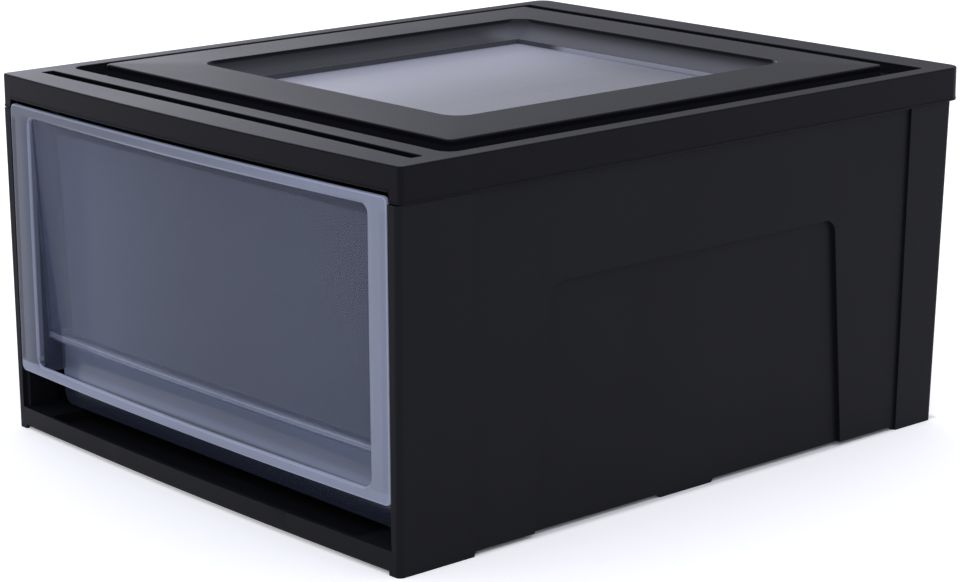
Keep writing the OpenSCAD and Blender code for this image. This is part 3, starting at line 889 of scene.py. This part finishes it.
def slot_levels():
    """The slot behind the front edge, from the rim down to its bed."""
    return [
        *rolled(SLOT, -SLOT_ROUND, RIM_Z - SLOT_ROUND, SLOT_ROUND, 90, 0),
        *rolled(SLOT, SLOT_BED_ROUND, SLOT_Z + SLOT_BED_ROUND, SLOT_BED_ROUND, 180, 270),
    ]


def add_catches(shell):
    """Adds the window's snap hooks and the drawer's guide blades and stops."""
    half, places = HOOKS_AT
    for y in places:
        shell.block(*HOOK, at=(-half, y))
        shell.block(*HOOK, turn=math.pi, at=(half, y))
    half, (front, rear) = HOOKS_ACROSS
    for x in (-half, half):
        shell.block(*HOOK, turn=math.pi / 2, at=(x, front))
        shell.block(*HOOK, turn=-math.pi / 2, at=(x, rear))
    for low, high in (BLADE, STOP):
        shell.block(low, high)
        shell.block((-high[0], *low[1:]), (-low[0], *high[1:]))


def cover_shell():
    """The whole top cover: skirt, rim, slot, stacking groove, window frame and dished wall."""
    shell = Shell()
    skirt = shell.rings(skirt_levels())
    inner = shell.rings(upper_levels() + under_levels())
    slot = shell.rings(slot_levels())
    channel = shell.rings([level(SLOT, -WALL, RIM_Z - SHEET), level(SLOT, -WALL, SLOT_Z - WALL)])
    for rings in (skirt, inner, slot, channel):
        shell.sew(*rings)
    shell.fill(slot[-1])
    shell.fill(channel[-1])
    shell.fill(skirt[-1], inner[0], slot[0])
    shell.fill(skirt[0], inner[-1], channel[0])
    add_catches(shell)
    return shell


def border_loop(half, foot, top, radius):
    """Corners of an upright rounded rectangle, as pairs of x and z."""
    reach = half - radius
    corners = (
        (-reach, foot + radius, 180),
        (reach, foot + radius, 270),
        (reach, top - radius, 0),
        (-reach, top - radius, 90),
    )
    arcs = [
        [Vector((x + a, z + b)) for a, b in rounding(radius, start, start + 90, CORNER_STEPS)]
        for x, z, start in corners
    ]
    points = []
    for arc, following in zip(arcs, arcs[1:] + arcs[:1]):
        points += arc
        points += [arc[-1].lerp(following[0], i / BORDER_STEPS) for i in range(1, BORDER_STEPS)]
    return points


def border_profile(width):
    """Places along the border's width and how far its face lies back there, out to in."""
    edge = BORDER_EDGE
    roll = width * BORDER_ROLL
    fall = roll * BORDER_FALL
    flat = width - roll
    return [
        (-BORDER_CLEAR, edge),
        *((edge - x, edge - y) for x, y in rounding(edge, 0, 90)),
        *((edge + (flat - edge) * i / FACE_STEPS, 0) for i in range(1, FACE_STEPS)),
        *((flat + roll * y, fall - fall * x) for x, y in rounding(1, 0, 90, ROLL_STEPS)),
        (width + BORDER_CLEAR, fall),
    ]


def border_shell():
    """The space ahead of the drawer's border, whose bowed face rolls over its inner edge."""
    strips = []
    for start, end in zip(border_loop(*BORDER_OUT), border_loop(*BORDER_IN)):
        width = (end - start).length
        way = (end - start) / width
        strip = []
        for along, back in border_profile(width):
            x, z = start + way * along
            face = BORDER_FACE - BORDER_BOW * (1 - (x / BORDER_OUT[0]) ** 2)
            strip.append((x, face + BORDER_SKIM + back, z))
        ends = [(x, CUTTER_FRONT, z) for x, y, z in (strip[0], strip[-1])]
        strips.append([ends[0], *strip, ends[1]])
    shell = Shell()
    rings = shell.rings(zip(*strips))
    shell.sew(*rings, rings[0])
    return shell


# ---------- Pieces ----------


def clean(piece):
    """Joins a CAD mesh's corners and its flat faces."""
    weld = piece.modifiers.new("weld", "WELD")
    weld.merge_threshold = WELD_GAP * MM
    flat = piece.modifiers.new("flat", "DECIMATE")
    flat.decimate_type = "DISSOLVE"
    flat.angle_limit = FLAT_ANGLE


def soften(piece, width):
    """Rounds a piece's edges by a width in millimetres, or less where a face is too short."""
    bevel = piece.modifiers.new("edges", "BEVEL")
    bevel.width = width * MM
    bevel.segments = 3
    bevel.limit_method = "ANGLE"
    bevel.angle_limit = EDGE_ANGLE
    bevel.harden_normals = True


def finish_node(node, material, width):
    """A CAD node with its edges rounded and its finish set."""
    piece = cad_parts[node]
    piece.data.materials.clear()
    piece.data.materials.append(material)
    clean(piece)
    soften(piece, width)


def carved(node, width, cutter):
    """A copy of a CAD node with its edges rounded, without what the cutter covers."""
    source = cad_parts[node]
    data = source.data.copy()
    data.transform(source.matrix_world)
    piece = add_object(node + "_carved", data)
    clean(piece)
    soften(piece, width)
    cut = piece.modifiers.new("cut", "BOOLEAN")
    cut.object = cutter
    cut.solver = "EXACT"
    graph = bpy.context.evaluated_depsgraph_get()
    data = bpy.data.meshes.new_from_object(piece.evaluated_get(graph))
    piece.modifiers.clear()
    piece.data = data
    bpy.data.objects.remove(cutter)
    return piece


class DRAWERBOX_OT_case(bpy.types.Operator):
    """Finishes the black case"""

    bl_idname = "drawerbox.case"
    bl_label = "Case"

    def execute(self, context):
        look = context.scene.drawerbox_plastic
        finish = black_plastic("case_plastic", look.case_color, CASE_ROUGHNESS)
        finish_node("case_body", finish, CASE_EDGE)
        return {"FINISHED"}


class DRAWERBOX_OT_cover(bpy.types.Operator):
    """Finishes the black top cover"""

    bl_idname = "drawerbox.cover"
    bl_label = "Top cover"

    def execute(self, context):
        look = context.scene.drawerbox_plastic
        finish = black_plastic("cover_plastic", look.cover_color, COVER_ROUGHNESS, look.window_light_color)
        stand_in(cover_shell().build("cover"), finish, "case", "top_cover")
        return {"FINISHED"}


class DRAWERBOX_OT_pane(bpy.types.Operator):
    """Finishes the clear window"""

    bl_idname = "drawerbox.pane"
    bl_label = "Window"

    def execute(self, context):
        look = context.scene.drawerbox_plastic
        finish_node("window_pane", clear_plastic("clear_pane", look.pane_color), PANE_EDGE)
        return {"FINISHED"}


class DRAWERBOX_OT_drawer(bpy.types.Operator):
    """Finishes the smoky drawer"""

    bl_idname = "drawerbox.drawer"
    bl_label = "Drawer"

    def execute(self, context):
        look = context.scene.drawerbox_plastic
        colors = (look.smoke_color, look.wall_color, look.border_color)
        finish = smoke_plastic("smoke_plastic", *colors)
        piece = carved("drawer", DRAWER_EDGE, border_shell().build("border"))
        stand_in(piece, finish, "drawer", "drawer")
        return {"FINISHED"}


# ---------- Stage ----------


def add_camera(stage):
    """The camera at its place, looking by azimuth, elevation and roll."""
    camera = add_object("camera", bpy.data.cameras.new("camera"))
    a, e, r = stage.azimuth, stage.elevation, stage.roll
    back = Vector((math.sin(a) * math.cos(e), -math.cos(a) * math.cos(e), math.sin(e)))
    right = Vector((math.cos(a), math.sin(a), 0))
    up = back.cross(right)
    turned = (right * math.cos(r) - up * math.sin(r), right * math.sin(r) + up * math.cos(r))
    turn = Matrix((*turned, back)).transposed().to_4x4()
    camera.matrix_world = Matrix.Translation(stage.location) @ turn
    camera.data.lens = stage.lens
    camera.data.sensor_width = SENSOR_WIDTH
    camera.data.clip_end = VIEW_END
    bpy.context.scene.camera = camera


def add_floor(stage):
    """A wide pale floor under the feet, which hardly glows under the box, where a shadow is
    painted.
    """
    mesh = bpy.data.meshes.new("floor")
    shape = bmesh.new()
    bmesh.ops.create_circle(shape, cap_ends=True, radius=FLOOR_RADIUS, segments=FLOOR_SIDES)
    shape.to_mesh(mesh)
    shape.free()
    floor = add_object("floor", mesh)
    shader = Shader("floor")
    seen = sum(
        shader.add("ShaderNodeLightPath", out=ray)
        for ray in ("Is Camera Ray", "Is Glossy Ray", "Is Transmission Ray")
    )
    # Painted shadow: the glow is taken off the floor under the box
    shadow_patch = 1
    for axis, half in SHADOW_PATCH_HALVES.items():
        shadow_patch = shader.below(abs(shader.axis(axis)), half, SHADOW_PATCH_FADE) * shadow_patch
    seen = seen * (1 - shadow_patch * SHADOW_PATCH_DEPTH)
    shader.set(
        Base_Color=shade(stage.floor_color),
        Roughness=0.9,
        Specular_IOR_Level=0.0,
        Emission_Color=shader.blend(seen, BLACK, WHITE),
        Emission_Strength=stage.floor_glow,
    )
    mesh.materials.append(shader.material)


def add_room(stage):
    """Soft light from all round, brighter overhead and from a wide white screen at the left."""
    world = bpy.data.worlds.new("room")
    room = Tree(world)
    way = room.add("ShaderNodeTexCoord", out="Generated")

    def towards(heading, rise):
        aim = (math.cos(heading), math.sin(heading), rise)
        inputs = {0: way, 1: aim}
        return room.add("ShaderNodeVectorMath", {"operation": "DOT_PRODUCT"}, inputs, out="Value")

    drape = room.ease(towards(DRAPE_HEADING, 0.0), *DRAPE_EDGE)
    screen = towards(SCREEN_HEADING, SCREEN_RISE)
    light = (
        (1 - drape * DRAPE_DEPTH) * stage.room_light
        + room.ease(screen, *SCREEN_EDGE) * stage.screen_light
        + room.ease(screen, *SPILL_EDGE) * stage.spill_light
        + room.ease(room.part(way, "Z"), *CEILING_EDGE) * stage.ceiling_light
    )
    background = room.nodes["Background"]
    room.feed(background.inputs["Strength"], light)
    room.feed(background.inputs["Color"], shade(stage.light_color))
    bpy.context.scene.world = world


class DRAWERBOX_OT_stage(bpy.types.Operator):
    """Sets up the camera, the floor and the light"""

    bl_idname = "drawerbox.stage"
    bl_label = "Stage"

    def execute(self, context):
        stage = context.scene.drawerbox_stage
        add_camera(stage)
        add_floor(stage)
        add_room(stage)
        context.scene.view_settings.view_transform = "Standard"
        return {"FINISHED"}


# ---------- Add-on ----------


OPERATORS = (
    DRAWERBOX_OT_case,
    DRAWERBOX_OT_cover,
    DRAWERBOX_OT_pane,
    DRAWERBOX_OT_drawer,
    DRAWERBOX_OT_stage,
)


class DRAWERBOX_PT_pieces(bpy.types.Panel):
    """Lists the pieces and the stage"""

    bl_label = "Drawer Box"
    bl_idname = "DRAWERBOX_PT_pieces"
    bl_space_type = "VIEW_3D"
    bl_region_type = "UI"
    bl_category = "Drawer Box"

    def draw(self, context):
        for settings in (context.scene.drawerbox_plastic, context.scene.drawerbox_stage):
            for key in settings.__annotations__:
                self.layout.prop(settings, key)
        for operator in OPERATORS:
            self.layout.operator(operator.bl_idname)


CLASSES = (StageSettings, PlasticSettings, *OPERATORS, DRAWERBOX_PT_pieces)


def register():
    for item in CLASSES:
        bpy.utils.register_class(item)
    bpy.types.Scene.drawerbox_stage = PointerProperty(type=StageSettings)
    bpy.types.Scene.drawerbox_plastic = PointerProperty(type=PlasticSettings)


def unregister():
    del bpy.types.Scene.drawerbox_plastic
    del bpy.types.Scene.drawerbox_stage
    for item in reversed(CLASSES):
        bpy.utils.unregister_class(item)


def main():
    register()
    for operator in OPERATORS:
        group, name = operator.bl_idname.split(".")
        getattr(getattr(bpy.ops, group), name)()


if __name__ == "__main__":
    main()
